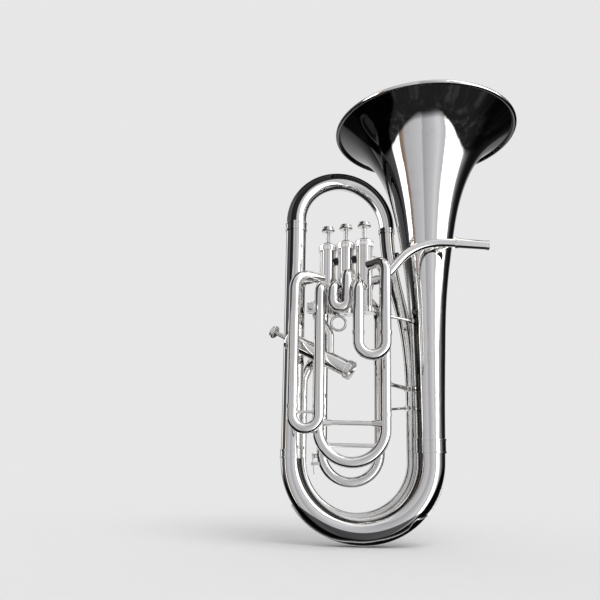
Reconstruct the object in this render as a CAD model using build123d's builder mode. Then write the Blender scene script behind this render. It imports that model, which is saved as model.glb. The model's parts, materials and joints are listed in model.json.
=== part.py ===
from build123d import *

import os
from math import cos, pi, radians, sin

os.makedirs("parts", exist_ok=True)

# A euphonium with three upright piston valves and a fourth on its side.
# Millimetres. +Z runs up the bell's axis, +X points to the player's mouthpiece
# and -Y to the side that carries the valve slides. The origin is the middle of
# the underside of the instrument's box.

# ---- driving dimensions ----
BELL_X = 51.5935  # the bell's axis stands at this X, with Y at 0
BELL_R = 150.0
BELL_TOP = 681.0
BELL_WALL = 0.8
TUBE_WALL = 0.8
BEAD_R = 3.0
WIRE_R = 1.9
RIM_FLAT = 0.4  # depth of the flat that the bell stands on
SOLDER_GAP = 0.1

BOW_R = 107.3  # centreline radius of the bottom bow
BOW_Z = 128.4245
BOW_BIG_R = 23.5
BOW_SMALL_R = 16.8
JOINT_Z = 152.0  # bell and bottom bow meet inside the bell ferrule
LEFT_JOINT_Z = 136.0
BRANCH_TOP_Z = 506.0
BRANCH_TOP_R = 16.4

SLIDE_WALL = 0.6
RUNNING_GAP = 0.05
RING_H = 3.0
RING_RISE = 0.8

CASING_R = 12.5
CASING_WALL = 0.9
CAP_R = 14.6
CAP_TOP = 115.0  # height of a valve from bottom cap to top cap
STEM_R = 3.2
BUTTON_R = 10.5
BUTTON_TOP = 145.0
BUTTON_H = 7.5
PISTON_LOW = 34.0
PISTON_HIGH = 108.0
VALVE_TRAVEL = 17.5
SADDLE_DEPTH = 3.0  # a tube's centreline ends this far inside a casing
STAND = (Align.CENTER, Align.CENTER, Align.MIN)  # centred on Z, from 0 upwards


def at(x, y, z):
    """A point measured from the foot of the bell's axis."""
    return Vector(BELL_X + x, y, z)


# The outside of the bell: height, radius.
BELL_OUTLINE = [
    (JOINT_Z + 0.2, 23.6),
    (220, 24.8),
    (300, 27.2),
    (400, 32.5),
    (468, 41.0),
    (545, 54.5),
    (600, 73.0),
    (645, 101.0),
    (669, 130.0),
    (680.2, 146.2),
]

# Valve axes: the middle of each bottom cap's underside, and the way up.
UP = Vector(0, 0, 1)
FOURTH_WAY = Vector(-0.8395, 0.2768, 0.4668)
VALVE_FOOT = {
    1: at(-108.5, -60.0, 347.0),
    2: at(-136.0, -48.5, 347.0),
    3: at(-163.5, -37.0, 347.0),
    4: at(-127.0, -63.0, 257.4),
}
VALVE_PLANE = {
    number: Plane(foot, x_dir=(0, -1, 0), z_dir=UP if number < 4 else FOURTH_WAY)
    for number, foot in VALVE_FOOT.items()
}


# ---- helpers that add to the part being built ----
def fill_tube(path, start_radius, end_radius, mode=Mode.ADD):
    """A round bar along a path, tapering when its two radii differ."""
    with BuildSketch(Plane(path @ 0, z_dir=path % 0)) as start:
        Circle(start_radius)
    if start_radius == end_radius:
        sweep(sections=start.sketch, path=path, mode=mode)
        return
    with BuildSketch(Plane(path @ 1, z_dir=path % 1)) as end:
        Circle(end_radius)
    sweep(sections=[start.sketch, end.sketch], path=path, multisection=True, mode=mode)


def round_tube(path, start_radius, end_radius, wall):
    """A round tube along a path."""
    fill_tube(path, start_radius, end_radius)
    fill_tube(path, start_radius - wall, end_radius - wall, mode=Mode.SUBTRACT)


def upright(x_y, low, high, radius, wall):
    """A straight upright tube on a point of the ground plane."""
    with BuildSketch(Plane.XY.offset(low)) as ring:
        with Locations(x_y):
            Circle(radius)
            Circle(radius - wall, mode=Mode.SUBTRACT)
    extrude(ring.sketch, amount=high - low)


def cut_casings(*numbers):
    """Shape tube ends to sit on the outside of valve casings."""
    for number in numbers:
        with BuildSketch(VALVE_PLANE[number]) as disc:
            Circle(CASING_R)
        extrude(disc.sketch, amount=CAP_TOP, mode=Mode.SUBTRACT)


def cut_bell():
    """Shape a fitting to sit on the outside of the bell."""
    with BuildSketch(Plane.XZ) as silhouette:
        with BuildLine():
            skin = Spline([(BELL_X + r + SOLDER_GAP, z) for z, r in BELL_OUTLINE])
            Polyline(
                skin @ 1,
                (BELL_X, BELL_OUTLINE[-1][0]),
                (BELL_X, BELL_OUTLINE[0][0]),
                skin @ 0,
            )
        make_face()
    revolve(silhouette.sketch, Axis(at(0, 0, 0), UP), mode=Mode.SUBTRACT)


def sleeve(inner_radius, outer_radius, length):
    """A ferrule with a raised ring at each end, along the part's own Z."""
    Cylinder(outer_radius, length, align=STAND)
    with Locations((0, 0, 0), (0, 0, length - RING_H)):
        Cylinder(outer_radius + RING_RISE, RING_H, align=STAND)
    fillet(edges().filter_by(GeomType.CIRCLE).group_by(SortBy.RADIUS)[-1], 0.35)
    Cylinder(inner_radius, length, align=STAND, mode=Mode.SUBTRACT)


def rod(start, end, radius, foot_radius, foot_height=1.6, foot_taper=0):
    """A brace: a round rod with a disc or cone foot at each end."""
    way = (end - start).normalized()
    length = (end - start).length
    with BuildSketch(Plane(start, z_dir=way)) as section:
        Circle(radius)
    extrude(section.sketch, amount=length)
    for place, direction in ((start, way), (end, way * -1)):
        with BuildSketch(Plane(place, z_dir=direction)) as foot:
            Circle(foot_radius)
        extrude(foot.sketch, amount=foot_height, taper=foot_taper)


def save(part, name):
    """Name a finished piece and write its file."""
    part.label = name
    export_step(part, f"parts/{name}.step")


# ---- bell ----
BEAD_CENTRE = (BELL_X + BELL_R - BEAD_R, BELL_TOP + RIM_FLAT - BEAD_R)

with BuildPart() as bell:
    with BuildSketch(Plane.XZ):
        with BuildLine():
            Spline([(BELL_X + r - BELL_WALL / 2, z) for z, r in BELL_OUTLINE])
        trace(line_width=BELL_WALL)
        with Locations(BEAD_CENTRE):
            Circle(BEAD_R)
            Circle(WIRE_R, mode=Mode.SUBTRACT)
        with Locations((BELL_X + BELL_R, BELL_TOP)):
            Rectangle(
                4 * BEAD_R,
                2 * RIM_FLAT,
                align=(Align.CENTER, Align.MIN),
                mode=Mode.SUBTRACT,
            )
    revolve(axis=Axis(at(0, 0, 0), UP))
save(bell.part, "bell")

with BuildPart() as bell_rim_wire:
    with BuildSketch(Plane.XZ):
        with Locations(BEAD_CENTRE):
            Circle(WIRE_R)
    revolve(axis=Axis(at(0, 0, 0), UP))
save(bell_rim_wire.part, "bell_rim_wire")

with BuildPart(Plane(at(0, 0, 141))) as bell_ferrule:
    sleeve(inner_radius=23.9, outer_radius=24.6, length=22)
save(bell_ferrule.part, "bell_ferrule")

# ---- bottom bow and its guard ----
BOW_MIDDLE = at(-BOW_R, 0, BOW_Z)
with BuildLine() as bottom_line:
    Line(at(0, 0, JOINT_Z), at(0, 0, BOW_Z))
    ThreePointArc(at(0, 0, BOW_Z), at(-BOW_R, 0, BOW_Z - BOW_R), at(-2 * BOW_R, 0, BOW_Z))
    Line(at(-2 * BOW_R, 0, BOW_Z), at(-2 * BOW_R, 0, LEFT_JOINT_Z))
bottom_path = bottom_line.wire()

with BuildPart() as bottom_bow:
    round_tube(bottom_path, BOW_BIG_R, BOW_SMALL_R, TUBE_WALL)
save(bottom_bow.part, "bottom_bow")

# A strip of plate wraps the outside of the bow between two angles of its arc.
GUARD_WALL = 0.8
GUARD_HALF_ANGLE = 52.0
GUARD_START = -12.0
GUARD_END = -150.0
GUARD_START_R = 23.05
GUARD_END_R = 18.2


def on_bow(angle):
    """The point of the bottom bow's arc at an angle, and the way out of the arc there."""
    outward = Vector(cos(radians(angle)), 0, sin(radians(angle)))
    return BOW_MIDDLE + outward * BOW_R, outward


def guard_section(angle, tube_radius):
    """The plate's cross section: a strip of ring that faces out of the arc."""
    centre, outward = on_bow(angle)
    onward = Vector(outward.Z, 0, -outward.X)
    with BuildSketch(Plane(centre, x_dir=outward, z_dir=onward)) as strip:
        with BuildLine():
            sweep_angles = (-GUARD_HALF_ANGLE, 2 * GUARD_HALF_ANGLE)
            outer_arc = CenterArc((0, 0), tube_radius + GUARD_WALL, *sweep_angles)
            inner_arc = CenterArc((0, 0), tube_radius, *sweep_angles)
            Line(outer_arc @ 0, inner_arc @ 0)
            Line(outer_arc @ 1, inner_arc @ 1)
        make_face()
    return strip.sketch


with BuildLine() as guard_line:
    ThreePointArc(
        on_bow(GUARD_START)[0],
        on_bow((GUARD_START + GUARD_END) / 2)[0],
        on_bow(GUARD_END)[0],
    )
with BuildPart() as bow_guard:
    sweep(
        sections=[
            guard_section(GUARD_START, GUARD_START_R),
            guard_section(GUARD_END, GUARD_END_R),
        ],
        path=guard_line.wire(),
        multisection=True,
    )
    fill_tube(bottom_path, BOW_BIG_R, BOW_SMALL_R, mode=Mode.SUBTRACT)
save(bow_guard.part, "bow_guard")

# ---- left branch, top bow, descending branch, inner bow ----
LEFT_X = -2 * BOW_R
with BuildLine() as left_line:
    Line(at(LEFT_X, 0, LEFT_JOINT_Z), at(LEFT_X, 0, BRANCH_TOP_Z))
left_path = left_line.wire()
with BuildPart() as left_branch:
    round_tube(left_path, BOW_SMALL_R, BRANCH_TOP_R, TUBE_WALL)
save(left_branch.part, "left_branch")

with BuildPart(Plane(at(LEFT_X, 0, LEFT_JOINT_Z - 7))) as lower_branch_ferrule:
    sleeve(inner_radius=17.0, outer_radius=17.6, length=14)

with BuildPart(Plane(at(LEFT_X, 0, BRANCH_TOP_Z - 7))) as upper_branch_ferrule:
    sleeve(inner_radius=16.6, outer_radius=17.2, length=14)

TOP_BOW_Z = 517.5
TOP_RIGHT = at(-61, 28, TOP_BOW_Z)
TOP_LEFT = at(LEFT_X, 0, TOP_BOW_Z)
TOP_BOW_R = (TOP_RIGHT - TOP_LEFT).length / 2
with BuildLine() as top_line:
    Line(at(LEFT_X, 0, BRANCH_TOP_Z), TOP_LEFT)
    ThreePointArc(TOP_LEFT, (TOP_LEFT + TOP_RIGHT) / 2 + UP * TOP_BOW_R, TOP_RIGHT)
top_path = top_line.wire()
DESCENDING_R = 12.5
with BuildPart() as top_bow:
    round_tube(top_path, BRANCH_TOP_R, DESCENDING_R, TUBE_WALL)
save(top_bow.part, "top_bow")

INNER_RIGHT = at(-25, 23.5, 128)
INNER_LEFT = at(-198.5, 20.5, 128)
INNER_R = (INNER_RIGHT - INNER_LEFT).length / 2
INNER_TUBE_R = 7.0
with BuildLine() as descending_line:
    Spline(TOP_RIGHT, at(-32, 27, 347), INNER_RIGHT, tangents=[UP * -1, UP * -1])
descending_path = descending_line.wire()
with BuildPart() as descending_branch:
    round_tube(descending_path, DESCENDING_R, INNER_TUBE_R, TUBE_WALL)
save(descending_branch.part, "descending_branch")

with BuildPart(Plane(TOP_RIGHT + UP * -9)) as descending_ferrule:
    sleeve(inner_radius=12.8, outer_radius=13.3, length=8)
save(
    Compound(
        children=[lower_branch_ferrule.part, upper_branch_ferrule.part, descending_ferrule.part]
    ),
    "branch_ferrules",
)

with BuildLine() as inner_line:
    inner_arc_path = ThreePointArc(
        INNER_RIGHT,
        (INNER_RIGHT + INNER_LEFT) / 2 - UP * INNER_R,
        INNER_LEFT,
    )
    FilletPolyline(
        INNER_LEFT,
        at(-198.5, 20.5, 255),
        at(-186, 18, 284),
        at(-178, -38, 287),
        radius=20,
    )
inner_path = inner_line.wire()
with BuildPart() as inner_bow:
    round_tube(inner_path, INNER_TUBE_R, INNER_TUBE_R, TUBE_WALL)
    cut_casings(4)
save(inner_bow.part, "inner_bow")

# ---- leadpipe and mouthpiece receiver ----
RECEIVER_MOUTH = at(84, -62, 458)
RECEIVER_BACK = at(31, -62, 461)
RECEIVER_MOUTH_R = 7.1
RECEIVER_BACK_R = 7.8
RECEIVER_COLLAR_RISE = 0.7
RECEIVER_BORE_R = 6.1
RECEIVER_BORE_DEPTH = 14.0
RECEIVER_LEAD_IN = 0.6  # chamfer at the mouth of the bore
PIPE_START_R = 6.6
PIPE_END_R = 7.2
with BuildLine() as pipe_line:
    Spline(
        RECEIVER_BACK,
        at(-10, -62, 458.5),
        at(-46, -64, 439),
        at(-70, -67, 411),
        at(-99.5, -62, 397),
        tangents=[RECEIVER_BACK - RECEIVER_MOUTH, Vector(-1, 0.25, -0.1)],
    )
pipe_path = pipe_line.wire()
with BuildPart() as leadpipe:
    round_tube(pipe_path, PIPE_START_R, PIPE_END_R, TUBE_WALL)
    cut_casings(1)
save(leadpipe.part, "leadpipe")

# The receiver narrows towards its mouth, with a collar at each end. Its bore is
# chamfered at the mouth and ends in a short cone down to the pipe's own bore.
receiver_plane = Plane(RECEIVER_MOUTH, z_dir=RECEIVER_BACK - RECEIVER_MOUTH)
RECEIVER_LENGTH = (RECEIVER_BACK - RECEIVER_MOUTH).length
PIPE_BORE_R = PIPE_START_R - TUBE_WALL
with BuildPart(receiver_plane) as mouthpiece_receiver:
    Cone(RECEIVER_MOUTH_R, RECEIVER_BACK_R, RECEIVER_LENGTH, align=STAND)
    Cylinder(RECEIVER_MOUTH_R + RECEIVER_COLLAR_RISE, 4, align=STAND)
    with Locations((0, 0, RECEIVER_LENGTH - 5)):
        Cylinder(RECEIVER_BACK_R + RECEIVER_COLLAR_RISE, 5, align=STAND)
    by_radius = edges().filter_by(GeomType.CIRCLE).group_by(SortBy.RADIUS)
    fillet(by_radius[-1] + by_radius[-2], 0.4)
    Cone(
        RECEIVER_BORE_R + RECEIVER_LEAD_IN,
        RECEIVER_BORE_R,
        RECEIVER_LEAD_IN,
        align=STAND,
        mode=Mode.SUBTRACT,
    )
    with Locations((0, 0, RECEIVER_LEAD_IN)):
        Cylinder(RECEIVER_BORE_R, RECEIVER_BORE_DEPTH, align=STAND, mode=Mode.SUBTRACT)
    with Locations((0, 0, RECEIVER_LEAD_IN + RECEIVER_BORE_DEPTH)):
        Cone(RECEIVER_BORE_R, PIPE_BORE_R, 1, align=STAND, mode=Mode.SUBTRACT)
    Cylinder(PIPE_BORE_R, RECEIVER_LENGTH, align=STAND, mode=Mode.SUBTRACT)
save(mouthpiece_receiver.part, "mouthpiece_receiver")

# A short post from the bell holds the leadpipe, with a diamond plate at the pipe.
BRACE_FOOT = at(22, -62, 461)
brace_way = (at(0, 0, 461) - BRACE_FOOT).normalized()
DIAMOND_WIDTH = 19.0
DIAMOND_HEIGHT = 19.0
with BuildPart() as leadpipe_brace:
    rod(BRACE_FOOT, BRACE_FOOT + brace_way * 30, 3.0, 6.0, foot_height=5.5)
    with BuildSketch(Plane(BRACE_FOOT + brace_way * 6.2, x_dir=UP, z_dir=brace_way)) as diamond:
        with BuildLine():
            Polyline(
                (-DIAMOND_HEIGHT / 2, 0),
                (0, -DIAMOND_WIDTH / 2),
                (DIAMOND_HEIGHT / 2, 0),
                (0, DIAMOND_WIDTH / 2),
                close=True,
            )
        make_face()
    extrude(diamond.sketch, amount=1.6)
    cut_bell()
    fill_tube(pipe_path, PIPE_START_R, PIPE_END_R, mode=Mode.SUBTRACT)
save(leadpipe_brace.part, "leadpipe_brace")


# ---- the five slides ----
SLIDE_R = 8.2
MAIN_R = 8.75
THIRD_Y = -70.5  # the third slide's legs stand this far forward


def fixed_leg(foot, ferrule_z, *turns, radius):
    """Centreline of an outer slide tube: up from its ferrule, then on through the turns."""
    low = at(*foot, ferrule_z)
    with BuildLine() as line:
        if len(turns) == 1:
            Line(low, turns[0])
        else:
            FilletPolyline(low, *turns, radius=radius)
    return line.wire()


def towards_valve(number, x, y, z):
    """The point inside a casing's wall where a tube from (x, y) at height z ends."""
    axis_point = VALVE_FOOT[number]
    start = at(x, y, z)
    way = Vector(axis_point.X - start.X, axis_point.Y - start.Y, 0)
    return start + way * (1 - (CASING_R - SADDLE_DEPTH) / way.length)


def into_valve(number, x, y, ferrule_z, top_z, bend):
    """A leg that rises from its ferrule and bends over into an upright casing."""
    return fixed_leg(
        (x, y), ferrule_z, at(x, y, top_z), towards_valve(number, x, y, top_z), radius=bend
    )


# name: tube radius, ferrule height, arc centre height, inner tube length,
# the two legs' feet and the centrelines of their fixed tubes, casings they meet
SLIDES = {
    "main": {
        "radius": MAIN_R,
        "ferrule": 195.0,
        "arc": 174.5,
        "engaged": 64.0,
        "feet": ((-176.0, -45.0), (-75.0, -45.0)),
        "fixed": (
            fixed_leg((-176.0, -45.0), 195.0, at(-176, -45, 276), radius=0),
            into_valve(1, -75.0, -45.0, 195.0, 431.0, 16.0),
        ),
        "casings": (1, 4),
    },
    "first": {
        "radius": SLIDE_R,
        "ferrule": 310.0,
        "arc": 297.2,
        "engaged": 54.0,
        "feet": ((-120.3, -92.0), (-80.3, -92.0)),
        "fixed": (
            into_valve(1, -120.3, -92.0, 310.0, 386.0, 15.0),
            into_valve(1, -80.3, -92.0, 310.0, 421.0, 18.0),
        ),
        "casings": (1,),
    },
    "second": {
        "radius": SLIDE_R,
        "ferrule": 364.0,
        "arc": 361.7,
        "engaged": 10.0,
        "feet": ((-157.0, -78.0), (-136.0, -78.0)),
        "fixed": (
            into_valve(2, -157.0, -78.0, 364.0, 385.0, 9.5),
            into_valve(2, -136.0, -78.0, 364.0, 406.0, 11.0),
        ),
        "casings": (2,),
    },
    "third": {
        "radius": SLIDE_R,
        "ferrule": 203.0,
        "arc": 190.4,
        "engaged": 85.0,
        "feet": ((-214.4, THIRD_Y), (-176.0, THIRD_Y)),
        "fixed": (
            into_valve(3, -214.4, THIRD_Y, 203.0, 405.0, 24.0),
            into_valve(3, -176.0, THIRD_Y, 203.0, 387.0, 13.0),
        ),
        "casings": (3,),
    },
    "fourth": {
        "radius": SLIDE_R,
        "ferrule": 285.0,
        "arc": 140.0,
        "engaged": 55.0,
        "feet": ((-167.0, 25.0), (-75.0, 25.0)),
        "fixed": (
            into_valve(3, -167.0, 25.0, 285.0, 372.0, 20.0),
            into_valve(1, -75.0, 25.0, 285.0, 372.0, 20.0),
        ),
        "casings": (1, 3),
    },
}


def crook_line(slide):
    """Centreline of a slide's U: down one leg, round, and up the other."""
    left, right = (at(*foot, slide["ferrule"]) for foot in slide["feet"])
    drop = UP * (slide["arc"] - slide["ferrule"])
    bottom = (left + right) / 2 + drop - UP * ((right - left).length / 2)
    with BuildLine() as line:
        Line(left, left + drop)
        ThreePointArc(left + drop, bottom, right + drop)
        Line(right + drop, right)
    return line.wire()


def ring(foot, low, radius):
    """A raised ring round an upright leg."""
    with BuildSketch(Plane.XY.offset(low)) as band:
        with Locations((BELL_X + foot[0], foot[1])):
            Circle(radius + RING_RISE)
    extrude(band.sketch, amount=RING_H)


for name, slide in SLIDES.items():
    tube_r = slide["radius"]
    inner_r = tube_r - SLIDE_WALL
    with BuildPart() as outer_tubes:
        for path, foot in zip(slide["fixed"], slide["feet"]):
            fill_tube(path, tube_r, tube_r)
            ring(foot, slide["ferrule"], tube_r)
            fill_tube(path, inner_r, inner_r, mode=Mode.SUBTRACT)
        cut_casings(*slide["casings"])
    save(outer_tubes.part, f"{name}_slide_outer_tubes")

    slide["crook_path"] = crook_line(slide)
    with BuildPart() as crook:
        fill_tube(slide["crook_path"], tube_r, tube_r)
        for foot in slide["feet"]:
            ring(foot, slide["ferrule"] - RING_H, tube_r)
        fill_tube(slide["crook_path"], inner_r, inner_r, mode=Mode.SUBTRACT)
    slide["crook"] = crook.part

    insert = min(8.0, slide["ferrule"] - slide["arc"])
    with BuildPart() as inner_tubes:
        for x, y in slide["feet"]:
            upright(
                (BELL_X + x, y),
                slide["ferrule"] - insert,
                slide["ferrule"] + slide["engaged"],
                inner_r - RUNNING_GAP,
                SLIDE_WALL,
            )
    save(inner_tubes.part, f"{name}_slide_inner_tubes")
    if name != "fourth":
        save(crook.part, f"{name}_slide_crook")

# ---- cross braces that move with their slides ----
CROSS_ROD_R = 3.6
SMALL_ROD_R = 2.2
with BuildPart() as main_slide_braces:
    rod(at(-170, -45, 182), at(-81, -45, 182), CROSS_ROD_R, 6.6, 15, foot_taper=10)
    rod(at(-166, -45, 149), at(-85, -45, 149), CROSS_ROD_R - 0.5, 4.0, foot_height=6)
    fill_tube(SLIDES["main"]["crook_path"], MAIN_R, MAIN_R, mode=Mode.SUBTRACT)
save(main_slide_braces.part, "main_slide_braces")

with BuildPart() as third_slide_brace:
    rod(at(-208, THIRD_Y, 195), at(-182, THIRD_Y, 195), SMALL_ROD_R, 3.4, foot_height=3)
    fill_tube(SLIDES["third"]["crook_path"], SLIDE_R, SLIDE_R, mode=Mode.SUBTRACT)
save(third_slide_brace.part, "third_slide_brace")

# ---- tubes between the valves ----
KNUCKLE_R = 6.4
LOOP_R = 6.2
crossing = VALVE_FOOT[3] - VALVE_FOOT[1]
knuckle_paths = []
for first, last in ((1, 2), (2, 3)):
    for rise in (33.0, 87.0):
        with BuildLine() as knuckle_line:
            Line(
                VALVE_FOOT[first] + UP * rise + crossing.normalized() * (CASING_R - SADDLE_DEPTH),
                VALVE_FOOT[last] + UP * rise - crossing.normalized() * (CASING_R - SADDLE_DEPTH),
            )
        knuckle_paths.append(knuckle_line.wire())
with BuildPart() as valve_knuckles:
    for path in knuckle_paths:
        round_tube(path, KNUCKLE_R, KNUCKLE_R, TUBE_WALL)
    cut_casings(1, 2, 3)
save(valve_knuckles.part, "valve_knuckles")

# Small loops behind the upright valves bring the compensating air back to each.
BEHIND = Vector(-crossing.Y, crossing.X, 0).normalized() * -1
LOOP_DROP = 25.0
loop_paths = []
for number, rise in ((1, 68.5), (2, 80.0), (3, 66.0)):
    high = VALVE_FOOT[number] + UP * rise + BEHIND * (CASING_R - SADDLE_DEPTH)
    low = high - UP * LOOP_DROP
    reach = BEHIND * 9
    with BuildLine() as loop_line:
        Line(high, high + reach)
        ThreePointArc(
            high + reach,
            (high + low) / 2 + reach + BEHIND * (LOOP_DROP / 2),
            low + reach,
        )
        Line(low + reach, low)
    loop_paths.append(loop_line.wire())
with BuildPart() as compensating_loops:
    for path in loop_paths:
        round_tube(path, LOOP_R, LOOP_R, SLIDE_WALL)
    cut_casings(1, 2, 3)
save(compensating_loops.part, "compensating_loops")

LINK_R = 7.6
with BuildLine() as link_line:
    FilletPolyline(
        towards_valve(3, -179.5, -53, 369),
        at(-179.5, -53, 369),
        at(-179.5, -53, 343),
        at(-161, -53, 316),
        at(-161, -53, 281),
        radius=[11, 14, 16],
    )
link_path = link_line.wire()
with BuildPart() as third_to_fourth_tube:
    round_tube(link_path, LINK_R, LINK_R, TUBE_WALL)
    cut_casings(3, 4)
save(third_to_fourth_tube.part, "third_to_fourth_tube")

# ---- valves ----
INLETS = {number: [] for number in VALVE_PLANE}
for path in knuckle_paths:
    for number in (1, 2, 3):
        INLETS[number].append((path, KNUCKLE_R - TUBE_WALL))
for number, path in zip((1, 2, 3), loop_paths):
    INLETS[number].append((path, LOOP_R - SLIDE_WALL))
for number in (3, 4):
    INLETS[number].append((link_path, LINK_R - TUBE_WALL))
INLETS[4].append((inner_path, INNER_TUBE_R - TUBE_WALL))
INLETS[1].append((pipe_path, PIPE_END_R - TUBE_WALL))
INLETS[4].append((SLIDES["main"]["fixed"][0], MAIN_R - SLIDE_WALL))
INLETS[1].append((SLIDES["main"]["fixed"][1], MAIN_R - SLIDE_WALL))
for name, number in (("first", 1), ("second", 2), ("third", 3)):
    for path in SLIDES[name]["fixed"]:
        INLETS[number].append((path, SLIDE_R - SLIDE_WALL))
INLETS[3].append((SLIDES["fourth"]["fixed"][0], SLIDE_R - SLIDE_WALL))
INLETS[1].append((SLIDES["fourth"]["fixed"][1], SLIDE_R - SLIDE_WALL))

CASING_LOW = 3.0
CASING_HIGH = 110.0
PISTON_R = CASING_R - CASING_WALL - RUNNING_GAP
PISTON_WALL = 1.0
PORT_R = 6.0
SPRING_LOW = 2.0
SPRING_COIL_R = 8.0
SPRING_WIRE_R = 0.5
SPRING_TURNS = 7
CAP_LIP = 1.6
CAP_HOLE_R = STEM_R + 0.1
FELT_H = 3.0
THREAD_GAP = 0.05

for number, plane in VALVE_PLANE.items():
    with BuildPart(plane) as casing:
        with Locations((0, 0, CASING_LOW)):
            Cylinder(CASING_R, CASING_HIGH - CASING_LOW, align=STAND)
            Cylinder(
                CASING_R - CASING_WALL,
                CASING_HIGH - CASING_LOW,
                align=STAND,
                mode=Mode.SUBTRACT,
            )
        for path, radius in INLETS[number]:
            fill_tube(path, radius, radius, mode=Mode.SUBTRACT)
    save(casing.part, f"valve_casing_{number}")

    # A hollow piston with three slanting passages through it.
    with BuildPart(plane) as piston:
        with Locations((0, 0, PISTON_LOW)):
            Cylinder(PISTON_R, PISTON_HIGH - PISTON_LOW, align=STAND)
        with Locations((0, 0, PISTON_LOW + PISTON_WALL)):
            Cylinder(
                PISTON_R - PISTON_WALL,
                PISTON_HIGH - PISTON_LOW - 2 * PISTON_WALL,
                align=STAND,
                mode=Mode.SUBTRACT,
            )
        for rise, turn in ((50.0, 20.0), (69.0, 80.0), (88.0, 140.0)):
            with Locations(Location((0, 0, rise), (0, 90, turn))):
                Cylinder(PORT_R + PISTON_WALL, 2 * PISTON_R)
                Cylinder(PORT_R, 3 * PISTON_R, mode=Mode.SUBTRACT)
        with Locations((0, 0, PISTON_LOW)):
            Cylinder(PISTON_R, PISTON_HIGH - PISTON_LOW, align=STAND, mode=Mode.INTERSECT)

    with BuildPart(plane) as stem:
        with Locations((0, 0, PISTON_HIGH)):
            Cylinder(STEM_R, BUTTON_TOP - BUTTON_H - PISTON_HIGH, align=STAND)
    save(Compound(children=[piston.part, stem.part]), f"piston_{number}")

    # A domed finger button with a rounded edge, screwed to its stem.
    with BuildPart(plane) as button:
        with BuildSketch(Plane(plane.origin, x_dir=plane.x_dir, z_dir=plane.y_dir * -1)) as half:
            with BuildLine():
                Polyline(
                    (0, BUTTON_TOP),
                    (0, BUTTON_TOP - BUTTON_H),
                    (BUTTON_R - 2.4, BUTTON_TOP - BUTTON_H),
                )
                Spline(
                    (BUTTON_R - 2.4, BUTTON_TOP - BUTTON_H),
                    (BUTTON_R, BUTTON_TOP - 4.6),
                    (BUTTON_R - 2.6, BUTTON_TOP - 1.5),
                    (0, BUTTON_TOP),
                    tangents=[(1, 0.25), (-1, 0)],
                )
            make_face()
        revolve(half.sketch, Axis(plane.origin, plane.z_dir))
    save(button.part, f"finger_button_{number}")

    with BuildPart(plane) as spring:
        spring_height = PISTON_LOW - SPRING_LOW - 2 * SPRING_WIRE_R
        foot = plane.origin + plane.z_dir * (SPRING_LOW + SPRING_WIRE_R)
        with BuildLine(mode=Mode.PRIVATE) as coil:
            Helix(spring_height / SPRING_TURNS, spring_height, SPRING_COIL_R)
        coil_path = Plane(foot, x_dir=plane.x_dir, z_dir=plane.z_dir).from_local_coords(coil.wire())
        with BuildSketch(Plane(coil_path @ 0, z_dir=coil_path % 0)) as wire_section:
            Circle(SPRING_WIRE_R)
        sweep(sections=wire_section.sketch, path=coil_path, is_frenet=True)
    save(spring.part, f"valve_spring_{number}")


def grooves(radius, low, high, count=40, depth=0.35):
    """Knurling: upright grooves round a cap."""
    with Locations((0, 0, low)):
        with PolarLocations(radius + 0.25, count):
            Cylinder(depth + 0.25, high - low, align=STAND, mode=Mode.SUBTRACT)


# Caps and felts are alike on all four valves, so each kind is one group of solids.
bottom_caps = []
top_caps = []
felts = []
for number, plane in VALVE_PLANE.items():
    with BuildPart(plane) as bottom_cap:
        Cylinder(CAP_R, 9.0, align=STAND)
        fillet(edges().filter_by(GeomType.CIRCLE), 0.7)
        grooves(CAP_R, 3.0, 7.0)
        with Locations((0, 0, SPRING_LOW)):
            Cylinder(CASING_R + THREAD_GAP, 9.0, align=STAND, mode=Mode.SUBTRACT)
        Cylinder(2.5, 9.0, align=STAND, mode=Mode.SUBTRACT)
    bottom_caps.append(bottom_cap.part)
    plane_axis = Axis(plane.origin, plane.z_dir)
    with BuildPart(plane) as top_cap:
        with Locations((0, 0, 104.0)):
            Cylinder(CAP_R, CAP_TOP - 104.0, align=STAND)
        fillet(edges().filter_by(GeomType.CIRCLE).sort_by(plane_axis)[-1], 3.2)
        grooves(CAP_R, 105.2, 110.0)
        with Locations((0, 0, 104.0)):
            Cylinder(
                CASING_R + THREAD_GAP,
                CAP_TOP - 104.0 - CAP_LIP,
                align=STAND,
                mode=Mode.SUBTRACT,
            )
            Cylinder(CAP_HOLE_R, CAP_TOP - 104.0, align=STAND, mode=Mode.SUBTRACT)
    top_caps.append(top_cap.part)
    with BuildPart(plane) as felt_pair:
        for low, high in ((CAP_TOP, CAP_TOP + FELT_H), (PISTON_HIGH, CAP_TOP - CAP_LIP)):
            with Locations((0, 0, low)):
                Cylinder(7.0, high - low, align=STAND)
                Cylinder(CAP_HOLE_R, high - low, align=STAND, mode=Mode.SUBTRACT)
    felts.append(felt_pair.part)
for group, name in (
    (bottom_caps, "valve_bottom_caps"),
    (top_caps, "valve_top_caps"),
    (felts, "valve_felts"),
):
    save(Compound(children=group), name)

# ---- thumb ring ----
RING_MIDDLE = at(-147.5, -62.5, 330)
RING_OUTER_R = 13.0
RING_BAR_R = 2.0
with BuildPart() as thumb_ring:
    with BuildSketch(Plane(RING_MIDDLE, x_dir=(1, 0, 0), z_dir=(0, 0, 1))) as bar:
        with Locations((RING_OUTER_R - RING_BAR_R, 0)):
            Ellipse(RING_BAR_R, 2.8)
    revolve(bar.sketch, Axis(RING_MIDDLE, (0, 1, 0)))
    ring_top = RING_MIDDLE + UP * (RING_OUTER_R - RING_BAR_R)
    bracket_top = ring_top + UP * 24
    with BuildLine() as bracket_line:
        FilletPolyline(
            ring_top,
            bracket_top,
            Vector(VALVE_FOOT[2].X, VALVE_FOOT[2].Y, bracket_top.Z),
            radius=4,
        )
    fill_tube(bracket_line.wire(), 2.3, 2.3)
    cut_casings(2)
save(thumb_ring.part, "thumb_ring")

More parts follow.
